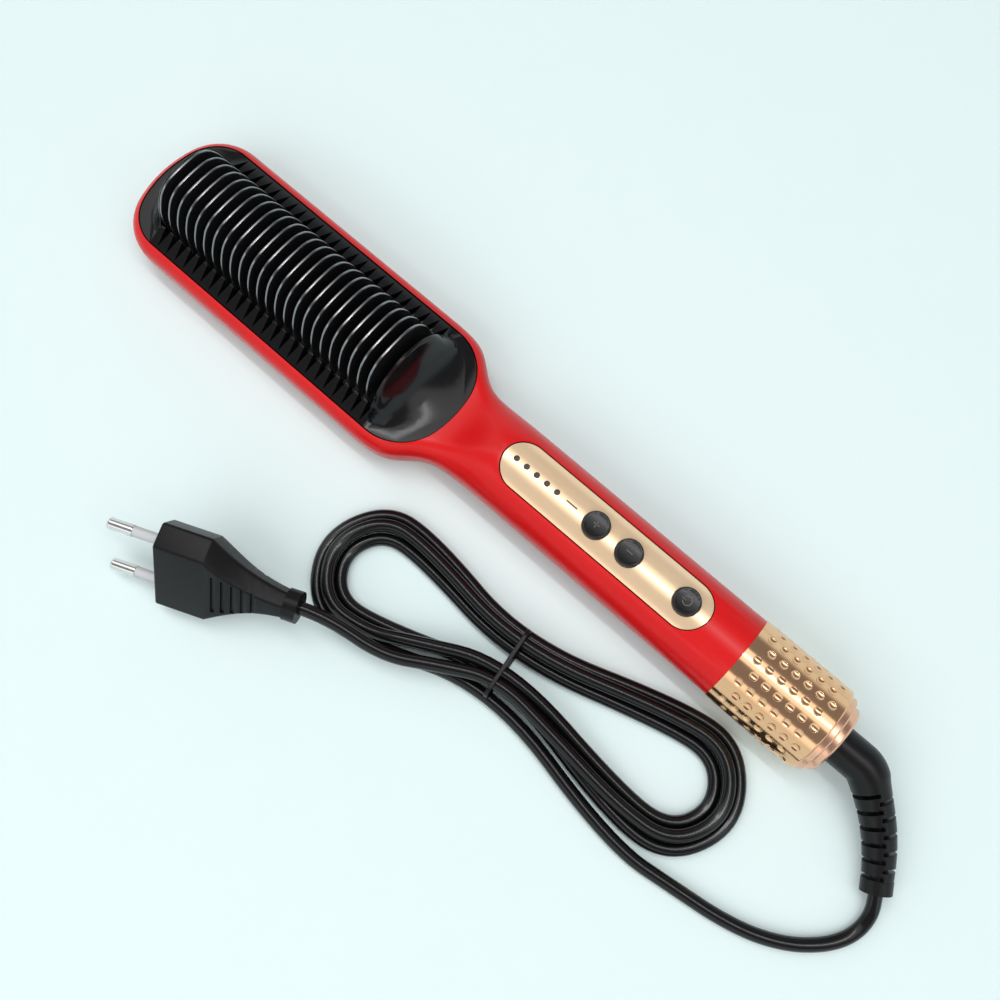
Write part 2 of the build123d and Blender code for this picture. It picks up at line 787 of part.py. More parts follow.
# Heater leads and mains leads, fixed along their real way inside the handle
with BuildPart() as heater_leads:
    lead_level = (ptc_bottom + film_bottom) / 2
    lead_start = comb_middle + ptc_reach - 5.5
    for side in (1, -1):
        lead_points = [
            (at(lead_start), side * (ptc_width / 2 + 0.05), lead_level),
            (at(lead_start), side * 10.4, lead_level),
            (at(rear_crest + 1.6), side * 10.4, 7.0),
            (at(rear_crest + 11.6), side * 5.8, 7.0),
            (at(board_start - 4.0), side * 5.8, 11.0),
            (at(board_start + 12.0), side * 5.8, 13.0),
            (at(board_start + 12.0), side * 5.8, board_bottom),
        ]
        add(wire(lead_points, [2.4, 6.0, 6.0, 12.0, 2.4], 1.6).part)
save(heater_leads, "heater_leads")

# Swivel: a fixed socket with two contact blades, and a spindle with two slip rings that turns
socket_start = cap_start + spigot_length + 1.5
socket_end = cap_end - 3.4
ring_seat = spindle_radius + 1.4
socket_bore = ring_seat + 2.1
with BuildPart() as swivel_socket:
    add(tube(cap_bore - spigot_gap, socket_bore, socket_start, socket_end))
    add(tube(cap_bore - spigot_gap - 0.5, 0.8, socket_start, socket_start + 1.6))
    add(tube(socket_bore + 0.1, spindle_radius + running_gap, socket_end - 1.8, socket_end))
save(swivel_socket, "swivel_socket")

slip_stations = (socket_start + 4.6, socket_start + 10.6)
slip_width = 3.2
with BuildPart() as slip_rings:
    for station in slip_stations:
        add(tube(ring_seat, spindle_radius + 0.02, station, station + slip_width))
save(slip_rings, "slip_rings")

with BuildPart() as contact_blades:
    for station, side in zip(slip_stations, (1, -1)):
        with BuildSketch(Plane.XY.offset(axis_height - 2.2)):
            with Locations((at(station + slip_width / 2), side * (ring_seat + running_gap + 0.7))):
                Rectangle(slip_width - 0.8, 1.4)
        extrude(amount=4.4)
save(contact_blades, "contact_blades")

guard_root = socket_end + 0.25
spindle_seat = 6.0
with BuildPart() as swivel_spindle:
    with BuildSketch(across(socket_start + 2.4)):
        with Locations((0, axis_height)):
            Circle(spindle_radius)
    extrude(amount=guard_root + spindle_seat - socket_start - 2.4)
save(swivel_spindle, "swivel_spindle")

with BuildPart() as mains_leads:
    for side in (1, -1):
        lead_points = [
            (at(socket_start), side * 4.5, axis_height - 1),
            (at(board_start + 80.0), side * 4.5, axis_height - 1),
            (at(board_start + 80.0), side * 4.5, board_bottom),
        ]
        add(wire(lead_points, [2.0], 1.8).part)
save(mains_leads, "mains_leads")

# End cap: the rose-gold sleeve over the handle's end, covered with shallow round dimples
with BuildPart() as end_cap:
    with BuildSketch(across(cap_start)):
        with Locations((0, axis_height)):
            Circle(cap_radius)
            Circle(cap_bore, mode=Mode.SUBTRACT)
    extrude(amount=cap_length)
    rims = end_cap.edges().filter_by(GeomType.CIRCLE).filter_by(lambda e: e.radius > cap_bore + 0.1)
    fillet(rims.sort_by(Axis.X)[-1], 0.9)
    dimple_ball = (dimple_radius**2 + dimple_depth**2) / (2 * dimple_depth)
    dimple_centre = cap_radius + dimple_ball - dimple_depth
    first_dimple = cap_start + (cap_length - (dimples_per_row - 0.5) * dimple_pitch) / 2
    dimples = []
    for row in range(dimple_rows):
        angle = math.radians(360 / dimple_rows * row)
        shift = dimple_pitch / 2 if row % 2 else 0
        y = dimple_centre * math.sin(angle)
        z = axis_height + dimple_centre * math.cos(angle)
        dimples += [(at(first_dimple + shift + n * dimple_pitch), y, z) for n in range(dimples_per_row)]
    with Locations(*dimples):
        Sphere(dimple_ball, mode=Mode.SUBTRACT)
save(end_cap, "end_cap")

# Cap ring: the stepped metal ring that closes the cap and lets the cord guard turn
with BuildPart() as cap_ring:
    ring_plane = Plane(origin=(at(cap_end), 0, axis_height), x_dir=(1, 0, 0), z_dir=(0, -1, 0))
    ring_reach = overall_length - cap_end
    recess = guard_radius + 1.4 + guard_gap
    with BuildSketch(ring_plane):
        with BuildLine():
            Polyline(
                (-2.6, recess),
                (-2.6, cap_bore - 0.05),
                (0, cap_bore - 0.05),
                (0, ring_radius),
                (ring_reach * 0.35, ring_radius),
                (ring_reach * 0.45, ring_radius - 0.4),
                (ring_reach * 0.45, ring_radius - ring_step),
                (ring_reach * 0.85, ring_radius - ring_step),
                (ring_reach, ring_radius - ring_step - 0.7),
                (ring_reach, ring_hole),
                (0, ring_hole),
                (0, recess),
                close=True,
            )
        make_face()
    revolve(axis=Axis((0, 0, axis_height), (1, 0, 0)))
save(cap_ring, "cap_ring")

# Cord guard: a smooth elbow that leaves the ring and a slotted tail with a round collar
guard_points = [
    (at(guard_root), 0, axis_height),
    (at(overall_length + 12.1), 0, axis_height),
    (at(overall_length + 29.3), -12.0, 8.8),
    (at(overall_length + 38.1), -25.4, 5.4),
]
guard_tail_radius = 4.6
guard_collar_radius = 4.95
guard_collar_length = 4.0
# Along the tail: share of the way from the elbow to the end, and radius
TAIL_SECTIONS = ((0.0, guard_radius), (0.16, 5.85), (0.4, 5.45), (0.7, 5.1), (1.0, guard_tail_radius))


def square_to(line, share, x_way):
    """A plane square to a line at a share of its length, its x turned towards a given way."""
    return Plane(origin=line @ share, x_dir=x_way, z_dir=line % share)


with BuildPart() as cord_guard:
    with BuildLine() as guard_route:
        FilletPolyline(*guard_points, radius=[7.6, 60.0])
    guard_line = guard_route.wires()[0]
    elbow = guard_line.edges()[0:2]
    elbow_share = sum(edge.length for edge in elbow) / guard_line.length
    with BuildSketch(square_to(guard_line, 0, (0, 1, 0))):
        Circle(guard_radius)
    sweep(path=Wire(elbow))
    for share, radius in TAIL_SECTIONS:
        with BuildSketch(square_to(guard_line, elbow_share + (1 - elbow_share) * share, (0, 1, 0))):
            Circle(radius)
    loft()
    slot_count = 11
    slot_pitch = 2.6
    slot_width = 1.35
    last_slot = guard_line.length - guard_collar_length - 0.9
    for number in range(slot_count):
        share = (last_slot - (slot_count - 1 - number) * slot_pitch) / guard_line.length
        side = -1 if number % 2 else 1
        with BuildSketch(square_to(guard_line, share, (0, 0, 1)).offset(-slot_width / 2)):
            with Locations((0, side * 3.6)):
                Rectangle(2 * guard_radius, 8.0)
            Circle(guard_core_radius, mode=Mode.SUBTRACT)
    extrude(amount=slot_width, mode=Mode.SUBTRACT)
    with BuildSketch(square_to(guard_line, 1, (0, 1, 0)).offset(-guard_collar_length)):
        Circle(guard_collar_radius)
    extrude(amount=guard_collar_length)
    with BuildSketch(across(guard_root)):
        with Locations((0, axis_height)):
            Circle(guard_radius + 1.4)
    extrude(amount=cap_end - guard_root - 0.25)
    with BuildSketch(across(guard_root)):
        with Locations((0, axis_height)):
            Circle(spindle_radius + 0.02)
    extrude(amount=spindle_seat, mode=Mode.SUBTRACT)
save(cord_guard, "cord_guard")

# Hank of the supply cord: three loops the same way, two on the table and one riding on them.
# Its own axis runs from the plug side to the cap side through the tied waist.
hank_centre = (206.0, -48.0)
hank_turn = 7.2
lay = cord_diameter + strand_gap
table_level = cord_diameter / 2
waist_lift = 1.15
left_turn = -51.1
right_turn = 63.1
inner_lobe = 13.0
lobe_step = 3.85
ride = math.sqrt((lay + 0.2) ** 2 - lobe_step**2)
waist_step = lay / 2 + 0.25
waist_spread = 1.25
waist_ride = 5.3


def hank_point(u, v, z):
    """A point of the hank's own frame in the brush's frame."""
    turn = math.radians(hank_turn)
    x = hank_centre[0] + u * math.cos(turn) - v * math.sin(turn)
    y = hank_centre[1] + u * math.sin(turn) + v * math.cos(turn)
    return (at(x), y, z)


outer_lobe = inner_lobe + 2 * lobe_step
middle_lobe = inner_lobe + lobe_step
low = table_level
high = table_level + ride
waist_low = table_level + waist_lift
waist_high = waist_low + waist_ride


def left_lobe(radius, level):
    """The turn at the plug side, from the lower arm round to the upper one."""
    side = radius * math.tan(math.radians(30))
    return [
        ((left_turn + 8, -radius, level), 28.0),
        ((left_turn - side, -radius, level), 0.97 * radius),
        ((left_turn - 2 * side, 0, level), 0.97 * radius),
        ((left_turn - side, radius, level), 0.97 * radius),
        ((left_turn + 8, radius, level), 28.0),
    ]


def right_lobe(radius, level):
    """The turn at the cap side, from the upper arm round to the lower one."""
    side = radius * math.tan(math.radians(30))
    return [
        ((right_turn - 10, radius, level), 28.0),
        ((right_turn + side, radius, level), 0.97 * radius),
        ((right_turn + 2 * side, 0, level), 0.97 * radius),
        ((right_turn + side, -radius, level), 0.97 * radius),
        ((right_turn - 10, -radius, level), 28.0),
    ]


hank_start = (57.0, -27.8, low + 0.3)
plug_axis_turn = 22.8
collar_end = (145.8, -79.2, 14.66)
hank_corners = (
    [((0, -3 * waist_step, waist_low), 28.0)]
    + left_lobe(outer_lobe, low)
    + [((0, 3 * waist_step, waist_low), 28.0)]
    + right_lobe(outer_lobe, low)
    + [((0, -waist_step, waist_low), 28.0)]
    + left_lobe(inner_lobe, low)
    + [((0, waist_step, waist_low), 28.0)]
    + right_lobe(inner_lobe, low)
    + [((0, 0, waist_high), 30.0), ((-31, -12.2, waist_high - 0.6), 30.0)]
    + left_lobe(middle_lobe, high)
    + [((0, 2 * waist_step, waist_high), 28.0)]
    + right_lobe(middle_lobe, high)
    + [((24, -10.6, waist_high + 0.3), 40.0), ((0, -2.1 * waist_step, waist_high + 0.1), 40.0)]
    + [((-19, -13.6, waist_high + 0.5), 40.0), ((-34, -20.6, waist_high + 1.2), 30.0)]
)
plug_way = (math.cos(math.radians(plug_axis_turn)), math.sin(math.radians(plug_axis_turn)), 0)
collar_point = Vector(at(collar_end[0]), collar_end[1], collar_end[2])
plug_bend = collar_point + Vector(*plug_way) * 9.5
last_corner = Vector(*hank_point(*hank_corners[-1][0]))
hank_end = plug_bend + (last_corner - plug_bend).normalized() * 11.0

with BuildPart() as cord_hank:
    with BuildLine() as hank_route:
        FilletPolyline(
            hank_point(*hank_start),
            *[hank_point(*corner) for corner, radius in hank_corners],
            hank_end,
            radius=[radius for corner, radius in hank_corners],
        )
    hank_line = hank_route.wires()[0]
    with BuildSketch(Plane(origin=hank_line @ 0, z_dir=hank_line % 0)):
        Circle(cord_diameter / 2)
    sweep()
save(cord_hank, "cord_hank")


def least_gap(line, diameter):
    """The least distance between far-apart stretches of a route, less the cord's diameter."""
    count = int(line.length)
    places = [tuple(line @ (n / count)) for n in range(count + 1)]
    skip = int(4 * diameter)
    return min(
        math.dist(places[i], places[j]) for i in range(count) for j in range(i + skip, count + 1)
    ) - diameter


hank_length = hank_line.length
print("hank length", round(hank_length, 1), "least gap", round(least_gap(hank_line, cord_diameter), 2))
print("hank volume over section times length",
      round(cord_hank.part.volume / (math.pi * cord_diameter**2 / 4 * hank_length), 4))


def route_radii(points):
    """Each corner's radius: 0.45 of its shorter run over the tangent of half its turn."""
    radii = []
    for before, here, after in zip(points, points[1:], points[2:]):
        run_in = Vector(*here) - Vector(*before)
        run_out = Vector(*after) - Vector(*here)
        half_turn = math.radians(run_in.get_angle(run_out)) / 2
        radii.append(0.45 * min(run_in.length, run_out.length) / math.tan(half_turn))
    return radii


def cord_stretch(points, name):
    """A free stretch of the supply cord along hand-chosen points."""
    radii = route_radii(points)
    lead = wire(points, radii, cord_diameter)
    length = lead.part.volume / (math.pi * cord_diameter**2 / 4)
    print(name, "length", round(length, 1), "radii", [round(r, 1) for r in radii])
    save(lead, name)
    return length


# Supply cord from the guard's collar along the table to the hank
supply_points = [
    tuple(guard_line @ 1),
    tuple(guard_line @ 1 + (guard_line % 1) * 4.5),
    (at(338.7), -33.6, 3.2),
    (at(338.3), -38.6, 2.45),
    (at(336.0), -43.7, table_level),
    (at(331.9), -48.8, table_level),
    (at(325.3), -54.4, table_level),
    (at(315.7), -59.4, table_level),
    (at(304.0), -62.7, table_level),
    (at(291.5), -64.6, table_level),
    tuple(hank_line @ 0 - (hank_line % 0) * 13.0),
    tuple(hank_line @ 0),
]
supply_length = cord_stretch(supply_points, "supply_cord")

# Short stretch from the hank up to the plug's collar
plug_points = [tuple(hank_end), tuple(plug_bend), tuple(collar_point)]
plug_lead_length = cord_stretch(plug_points, "cord_to_plug")
print("whole cord", round(hank_length + supply_length + plug_lead_length, 1))

# Cord tie: a thin black loop drawn round the seven strands of the waist
tie_thickness = 0.8
with BuildPart() as cord_tie:
    tie_plane = Plane(
        origin=hank_point(0, 0, 0),
        x_dir=(-math.sin(math.radians(hank_turn)), math.cos(math.radians(hank_turn)), 0),
        z_dir=(math.cos(math.radians(hank_turn)), math.sin(math.radians(hank_turn)), 0),
    )
    tie_width = 6 * waist_step + 2 * waist_spread + cord_diameter + 0.5
    tie_height = waist_high + cord_diameter / 2 + 0.6 - tie_thickness
    with BuildSketch(tie_plane.offset(-0.7)):
        with Locations((0, tie_thickness + tie_height / 2)):
            RectangleRounded(tie_width + 2 * tie_thickness, tie_height + 1.9 * tie_thickness, 3.1)
            RectangleRounded(tie_width, tie_height, 2.4, mode=Mode.SUBTRACT)
    extrude(amount=1.4)
save(cord_tie, "cord_tie")

# Plug: a flat two-pin plug lying on one of its slanted facets, its cord end towards the hank
plug_length = 47.0
block_length = 17.0
facet_tilt = math.degrees(math.atan2(plug_thickness / 2, (plug_width - plug_flat) / 2))
plug_front = collar_point - Vector(*plug_way) * plug_length
sideways = Vector(-plug_way[1], plug_way[0], 0)
wide_way = sideways * math.cos(math.radians(facet_tilt)) + Vector(0, 0, math.sin(math.radians(facet_tilt)))
plug_plane = Plane(origin=plug_front, x_dir=wide_way, z_dir=Vector(*plug_way))


def plug_section(width, thickness, flat, corner):
    """The plug's six-sided section with rounded corners."""
    Polygon(
        (width / 2, 0),
        (flat / 2, thickness / 2),
        (-flat / 2, thickness / 2),
        (-width / 2, 0),
        (-flat / 2, -thickness / 2),
        (flat / 2, -thickness / 2),
        align=None,
    )
    fillet(vertices(), corner)


with BuildPart() as plug_body:
    with BuildSketch(plug_plane):
        plug_section(plug_width, plug_thickness, plug_flat, 1.2)
    extrude(amount=block_length)
    fillet(plug_body.faces().sort_by(Axis(plug_front, plug_way))[0].edges(), 0.8)
    for place, width, thickness, flat in (
        (block_length, plug_width, plug_thickness, plug_flat),
        (block_length + 5.0, 27.0, plug_thickness - 0.6, 19.0),
        (block_length + 13.0, 17.5, 11.0, 10.5),
        (block_length + 21.0, 11.5, 9.4, 6.0),
        (plug_length - 4.0, 9.6, 8.6, 5.0),
    ):
        with BuildSketch(plug_plane.offset(place)):
            plug_section(width, thickness, flat, 1.2)
    loft()
    with BuildSketch(plug_plane.offset(plug_length - 4.5)):
        Circle(5.3)
    extrude(amount=4.5)
    for number in range(5):
        with BuildSketch(plug_plane.offset(block_length + 2.5 + number * 3.2)):
            for side in (1, -1):
                with Locations((0, side * (plug_thickness / 2 + 0.5 - number * 0.42))):
                    Rectangle(16.0 - number * 1.6, 2.4)
        extrude(amount=1.3, mode=Mode.SUBTRACT)
    with BuildSketch(plug_plane):
        with Locations((pin_spacing / 2, 0), (-pin_spacing / 2, 0)):
            Circle(sleeve_radius)
    extrude(amount=4.0, mode=Mode.SUBTRACT)
save(plug_body, "plug_body")

with BuildPart() as plug_pins:
    with BuildSketch(plug_plane.offset(-sleeve_length)):
        with Locations((pin_spacing / 2, 0), (-pin_spacing / 2, 0)):
            Circle(pin_radius)
    extrude(amount=sleeve_length - pin_length)
    fillet(plug_pins.faces().group_by(Axis(plug_front, plug_way))[0].edges(), 1.2)
save(plug_pins, "plug_pins")

with BuildPart() as pin_sleeves:
    with BuildSketch(plug_plane.offset(4.0)):
        with Locations((pin_spacing / 2, 0), (-pin_spacing / 2, 0)):
            Circle(sleeve_radius)
    extrude(amount=-sleeve_length - 4.0)
save(pin_sleeves, "pin_sleeves")

print("nodes", len(written))
print("plug front", plug_front, "wide", wide_way, "way", plug_way)
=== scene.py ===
import json
import math

import bmesh
import bpy
from mathutils import Matrix, Vector


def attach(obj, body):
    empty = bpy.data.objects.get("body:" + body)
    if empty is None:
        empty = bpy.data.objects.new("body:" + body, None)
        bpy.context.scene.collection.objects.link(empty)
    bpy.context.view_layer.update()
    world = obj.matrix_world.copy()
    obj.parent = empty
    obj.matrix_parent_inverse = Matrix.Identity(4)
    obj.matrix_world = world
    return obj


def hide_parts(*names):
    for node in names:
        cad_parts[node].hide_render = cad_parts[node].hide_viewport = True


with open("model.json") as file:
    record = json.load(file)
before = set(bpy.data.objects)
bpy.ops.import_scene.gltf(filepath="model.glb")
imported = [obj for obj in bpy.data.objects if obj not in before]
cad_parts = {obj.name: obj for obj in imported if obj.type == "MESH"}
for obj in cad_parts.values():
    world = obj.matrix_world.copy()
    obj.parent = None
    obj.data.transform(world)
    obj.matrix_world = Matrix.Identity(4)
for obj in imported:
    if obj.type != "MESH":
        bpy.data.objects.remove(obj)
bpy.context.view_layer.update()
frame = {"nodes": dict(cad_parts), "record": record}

# Camera: it looks down on the brush from the plug's side, a little short of overhead, turned so that
# the brush lies along the diagonal of the frame.
camera_data = bpy.data.cameras.new("overhead_camera")
camera_data.sensor_width = 36.0
camera_data.lens = 39.435
camera = bpy.data.objects.new("overhead_camera", camera_data)
camera.matrix_world = Matrix((
    (0.74712, -0.639252, 0.18212, 0.085993),
    (0.664647, 0.721545, -0.193952, -0.079702),
    (-0.007423, 0.265951, 0.963958, 0.35797),
    (0, 0, 0, 1),
))
bpy.context.scene.collection.objects.link(camera)
bpy.context.scene.camera = camera
bpy.context.scene.view_settings.view_transform = "Standard"

# Supply cord: one length of glossy black PVC cord, 4.5 mm thick, from the guard's collar along the
# table into three flat loops tied at the waist, and on to the plug. Extruded round two cores.
TIP_TO_MIDDLE = 148.5
CORD = 4.5
LAY = CORD + 0.5
LOW = CORD / 2
HIGH = LOW + math.sqrt((LAY + 0.2) ** 2 - 3.85**2)
WAIST_LOW = LOW + 1.15
WAIST_HIGH = WAIST_LOW + 5.3
STEP = LAY / 2 + 0.25
LEFT_TURN, RIGHT_TURN = -51.1, 63.1
INNER_LOOP, MIDDLE_LOOP, OUTER_LOOP = 13.0, 16.85, 20.7
HANK_MIDDLE = (206.0, -48.0)
HANK_TURN = math.radians(7.2)
BEND_CORNER = math.tan(math.radians(30))


def along(station):
    """Metres along the brush for a station in millimetres from the comb's tip."""
    return (station - TIP_TO_MIDDLE) / 1000


def on_table(x, y, z):
    """A point given in millimetres from the comb's tip, as the route was laid out."""
    return (along(x), y / 1000, z / 1000)


def in_hank(u, v, z):
    """A point of the hank's own frame, u along it and v across it."""
    return on_table(
        HANK_MIDDLE[0] + u * math.cos(HANK_TURN) - v * math.sin(HANK_TURN),
        HANK_MIDDLE[1] + u * math.sin(HANK_TURN) + v * math.cos(HANK_TURN),
        z,
    )


def plug_side(radius, level):
    """Corners of a loop's bend at the hank's plug end."""
    side = radius * BEND_CORNER
    return [
        (LEFT_TURN + 8, -radius, level),
        (LEFT_TURN - side, -radius, level),
        (LEFT_TURN - 2 * side, 0, level),
        (LEFT_TURN - side, radius, level),
        (LEFT_TURN + 8, radius, level),
    ]


def cap_side(radius, level):
    """Corners of a loop's bend at the hank's cap end."""
    side = radius * BEND_CORNER
    return [
        (RIGHT_TURN - 10, radius, level),
        (RIGHT_TURN + side, radius, level),
        (RIGHT_TURN + 2 * side, 0, level),
        (RIGHT_TURN + side, -radius, level),
        (RIGHT_TURN - 10, -radius, level),
    ]


hank_corners = (
    [(57.0, -27.8, LOW + 0.3), (0, -3 * STEP, WAIST_LOW)]
    + plug_side(OUTER_LOOP, LOW) + [(0, 3 * STEP, WAIST_LOW)] + cap_side(OUTER_LOOP, LOW)
    + [(0, -STEP, WAIST_LOW)]
    + plug_side(INNER_LOOP, LOW) + [(0, STEP, WAIST_LOW)] + cap_side(INNER_LOOP, LOW)
    + [(0, 0, WAIST_HIGH), (-31, -12.2, WAIST_HIGH - 0.6)]
    + plug_side(MIDDLE_LOOP, HIGH) + [(0, 2 * STEP, WAIST_HIGH)] + cap_side(MIDDLE_LOOP, HIGH)
    + [(24, -10.6, WAIST_HIGH + 0.3), (0, -2.1 * STEP, WAIST_HIGH + 0.1)]
    + [(-19, -13.6, WAIST_HIGH + 0.5), (-34, -20.6, WAIST_HIGH + 1.2)]
)
route = [
    on_table(335.1, -25.4, 5.4),
    on_table(337.52, -29.08, 4.47),
    on_table(338.7, -33.6, 3.2),
    on_table(338.3, -38.6, 2.45),
    on_table(336.0, -43.7, LOW),
    on_table(331.9, -48.8, LOW),
    on_table(325.3, -54.4, LOW),
    on_table(315.7, -59.4, LOW),
    on_table(304.0, -62.7, LOW),
    on_table(291.5, -64.6, LOW),
]
route += [in_hank(*corner) for corner in hank_corners]
route += [on_table(154.56, -75.52, 14.66), on_table(145.8, -79.2, 14.66)]

cord_curve = bpy.data.curves.new("supply_cord_length", "CURVE")
cord_curve.dimensions = "3D"
cord_curve.resolution_u = 10
cord_curve.bevel_depth = 1.0
cord_curve.bevel_resolution = 5
cord_curve.use_fill_caps = True
spline = cord_curve.splines.new("NURBS")
spline.points.add(len(route) - 1)
for point, place in zip(spline.points, route):
    point.co = (*place, 1)
    point.radius = CORD / 2000
spline.order_u = 3
spline.use_endpoint_u = True
cord = bpy.data.objects.new("supply_cord_length", cord_curve)
bpy.context.scene.collection.objects.link(cord)
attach(cord, "cord_swivel")
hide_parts("supply_cord", "cord_hank", "cord_to_plug")


def new_material(name, colour, roughness, metallic=0.0, coat=0.0, coat_roughness=0.1):
    """A principled material, handed back with its nodes, links and shader."""
    material = bpy.data.materials.new(name)
    material.use_nodes = True
    nodes, links = material.node_tree.nodes, material.node_tree.links
    shader = nodes["Principled BSDF"]
    shader.inputs["Base Color"].default_value = (*colour, 1)
    shader.inputs["Roughness"].default_value = roughness
    shader.inputs["Metallic"].default_value = metallic
    shader.inputs["Coat Weight"].default_value = coat
    shader.inputs["Coat Roughness"].default_value = coat_roughness
    return material, nodes, links, shader


def moulded_group():
    """Node group for the finish of a moulded, cast or lacquered skin: a tone, a gloss and a relief."""
    group = bpy.data.node_groups.new("moulded_skin", "ShaderNodeTree")
    face = group.interface
    for name, kind, start in (
        ("Colour", "NodeSocketColor", (0.5, 0.5, 0.5, 1)),
        ("Worn Colour", "NodeSocketColor", (0.6, 0.6, 0.6, 1)),
        ("Grain Size", "NodeSocketFloat", 2000.0),
        ("Relief", "NodeSocketFloat", 0.1),
        ("Roughness", "NodeSocketFloat", 0.4),
        ("Gloss Change", "NodeSocketFloat", 0.05),
    ):
        socket = face.new_socket(name=name, in_out="INPUT", socket_type=kind)
        socket.default_value = start
    face.new_socket(name="Colour", in_out="OUTPUT", socket_type="NodeSocketColor")
    face.new_socket(name="Roughness", in_out="OUTPUT", socket_type="NodeSocketFloat")
    face.new_socket(name="Normal", in_out="OUTPUT", socket_type="NodeSocketVector")
    nodes, links = group.nodes, group.links
    entry = nodes.new("NodeGroupInput")
    leave = nodes.new("NodeGroupOutput")
    place = nodes.new("ShaderNodeTexCoord")
    cloud = nodes.new("ShaderNodeTexNoise")
    cloud.inputs["Scale"].default_value = 45.0
    cloud.inputs["Detail"].default_value = 4.0
    grain = nodes.new("ShaderNodeTexNoise")
    grain.inputs["Detail"].default_value = 3.0
    links.new(place.outputs["Object"], cloud.inputs["Vector"])
    links.new(place.outputs["Object"], grain.inputs["Vector"])
    links.new(entry.outputs["Grain Size"], grain.inputs["Scale"])
    blend = nodes.new("ShaderNodeMix")
    blend.data_type = "RGBA"
    spread = nodes.new("ShaderNodeMapRange")
    spread.inputs["From Min"].default_value = 0.35
    spread.inputs["From Max"].default_value = 0.7
    spread.inputs["To Max"].default_value = 0.5
    links.new(cloud.outputs["Fac"], spread.inputs["Value"])
    links.new(spread.outputs["Result"], blend.inputs[0])
    links.new(entry.outputs["Colour"], blend.inputs[6])
    links.new(entry.outputs["Worn Colour"], blend.inputs[7])
    links.new(blend.outputs[2], leave.inputs["Colour"])
    swing = nodes.new("ShaderNodeMath")
    swing.operation = "SUBTRACT"
    swing.inputs[1].default_value = 0.5
    links.new(grain.outputs["Fac"], swing.inputs[0])
    gloss = nodes.new("ShaderNodeMath")
    gloss.operation = "MULTIPLY_ADD"
    links.new(swing.outputs[0], gloss.inputs[0])
    links.new(entry.outputs["Gloss Change"], gloss.inputs[1])
    links.new(entry.outputs["Roughness"], gloss.inputs[2])
    links.new(gloss.outputs[0], leave.inputs["Roughness"])
    bump = nodes.new("ShaderNodeBump")
    bump.inputs["Distance"].default_value = 0.0001
    links.new(entry.outputs["Relief"], bump.inputs["Strength"])
    links.new(grain.outputs["Fac"], bump.inputs["Height"])
    links.new(bump.outputs["Normal"], leave.inputs["Normal"])
    return group


moulded_skin = moulded_group()


def skinned(
    name, colour, worn, grain, relief, roughness, change,
    metallic=0.0, coat=0.0, coat_roughness=0.1, shine=0.5,
):
    """A material whose colour, gloss and fine relief come from the moulded skin group."""
    material, nodes, links, shader = new_material(
        name, colour, roughness, metallic, coat, coat_roughness
    )
    shader.inputs["Specular IOR Level"].default_value = shine
    skin = nodes.new("ShaderNodeGroup")
    skin.node_tree = moulded_skin
    skin.inputs["Colour"].default_value = (*colour, 1)
    skin.inputs["Worn Colour"].default_value = (*worn, 1)
    skin.inputs["Grain Size"].default_value = grain
    skin.inputs["Relief"].default_value = relief
    skin.inputs["Roughness"].default_value = roughness
    skin.inputs["Gloss Change"].default_value = change
    links.new(skin.outputs["Colour"], shader.inputs["Base Color"])
    links.new(skin.outputs["Roughness"], shader.inputs["Roughness"])
    links.new(skin.outputs["Normal"], shader.inputs["Normal"])
    return material


cord_pvc = skinned(
    "cord_pvc", (0.004, 0.004, 0.0045), (0.007, 0.007, 0.008), 900, 0.1, 0.13, 0.05, shine=0.35
)
cord_curve.materials.append(cord_pvc)

# Shells: two halves moulded in ABS and sprayed with a satin red lacquer, screwed together from the
# back. Their eased edges leave the fine parting line along the handle.
AXIS_HEIGHT = 0.0152
HANDLE_RADIUS = 0.0148
NECK_END = 0.0194
ROUND_WITHIN = 0.00003


def softened(node, name, material, edge=0.12, angle=32, flat=0.4):
    """A welded copy of a CAD piece with its edges eased, standing for that piece."""
    source = frame["nodes"][node]
    mesh = source.data.copy()
    mesh.name = name
    mesh.materials.clear()
    mesh.materials.append(material)
    form = bmesh.new()
    form.from_mesh(mesh)
    bmesh.ops.remove_doubles(form, verts=form.verts, dist=2e-6)
    bmesh.ops.dissolve_limit(
        form, angle_limit=math.radians(flat), verts=form.verts, edges=form.edges, delimit=set()
    )
    form.to_mesh(mesh)
    form.free()
    mesh.shade_smooth()
    mesh.set_sharp_from_angle(angle=math.radians(angle))
    piece = bpy.data.objects.new(name, mesh)
    bpy.context.scene.collection.objects.link(piece)
    if edge:
        ease = piece.modifiers.new("eased_edges", "BEVEL")
        ease.width = edge / 1000
        ease.segments = 2
        ease.limit_method = "ANGLE"
        ease.angle_limit = math.radians(angle)
        ease.harden_normals = True
    bodies = frame["record"]["behaviour"]["bodies"]
    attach(piece, next(body for body, members in bodies.items() if node in members))
    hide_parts(node)
    return piece


def trued(piece, radius, start=0.0):
    """Settle the piece's mesh and give its faces round the handle's axis the cylinder's own normals."""
    view = bpy.context.evaluated_depsgraph_get()
    settled = bpy.data.meshes.new_from_object(piece.evaluated_get(view))
    settled.name = piece.name
    piece.modifiers.clear()
    piece.data = settled
    leaning = [Vector(corner.vector) for corner in settled.corner_normals]
    for face in settled.polygons:
        spots = [settled.vertices[number].co for number in face.vertices]
        rims = [math.hypot(spot.y, spot.z - AXIS_HEIGHT) for spot in spots]
        outward = Vector((0, face.center.y, face.center.z - AXIS_HEIGHT)).normalized()
        on_handle = all(spot.x >= start for spot in spots)
        on_radius = max(abs(rim - radius) for rim in rims) < ROUND_WITHIN
        if on_handle and on_radius and face.normal.dot(outward) > 0.99:
            for loop, spot in zip(face.loop_indices, spots):
                leaning[loop] = Vector((0, spot.y, spot.z - AXIS_HEIGHT)).normalized()
    settled.normals_split_custom_set(leaning)


